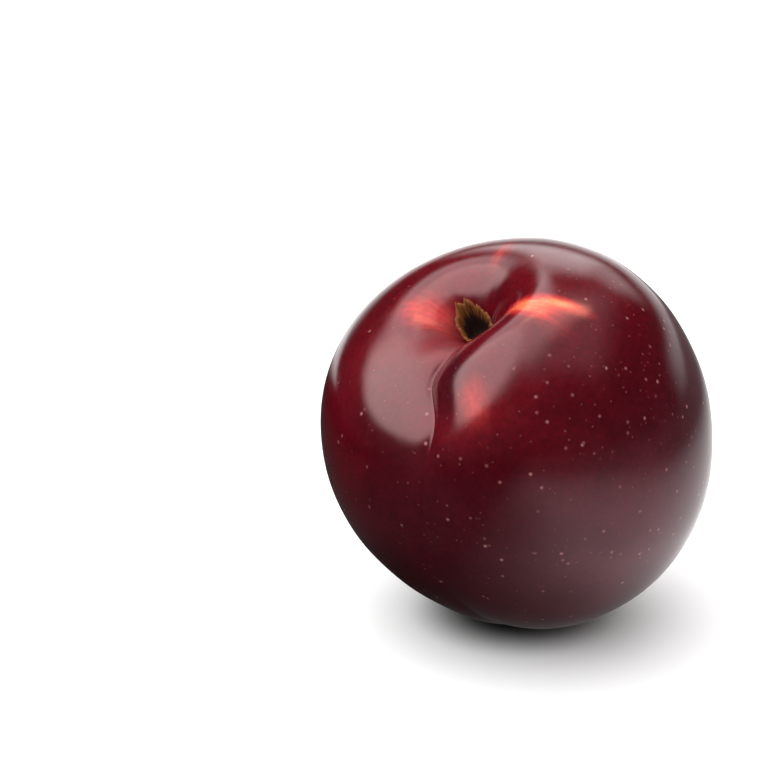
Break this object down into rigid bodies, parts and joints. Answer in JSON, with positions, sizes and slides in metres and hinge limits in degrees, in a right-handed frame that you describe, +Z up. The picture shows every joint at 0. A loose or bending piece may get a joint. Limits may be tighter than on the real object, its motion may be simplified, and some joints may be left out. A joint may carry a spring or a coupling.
{
  "type": "plum",
  "caption": "Ripe dark plum lying tipped on its cheek, with a deep suture, a funnel-shaped stem cavity and the torn foot of its stalk.",
  "frame": {"origin": "on the ground, in the small flat spot that the fruit rests on, under the middle of its body", "axes": "+Z up; the stalk end leans 26 degrees from +Z towards -X-Y, and the suture runs down the side that faces -Y"},
  "size_m": [0.0619, 0.0619, 0.061],
  "materials": {
    "plum_skin": "smooth glossy plum skin, deep crimson to maroon, with a thin waxy bloom and pale dots",
    "dried_stalk": "dry, fibrous, torn plant stalk, olive brown"
  },
  "bodies": {
    "root": {"fruit": "plum_skin", "stalk_foot": "dried_stalk"}
  },
  "joints": []
}
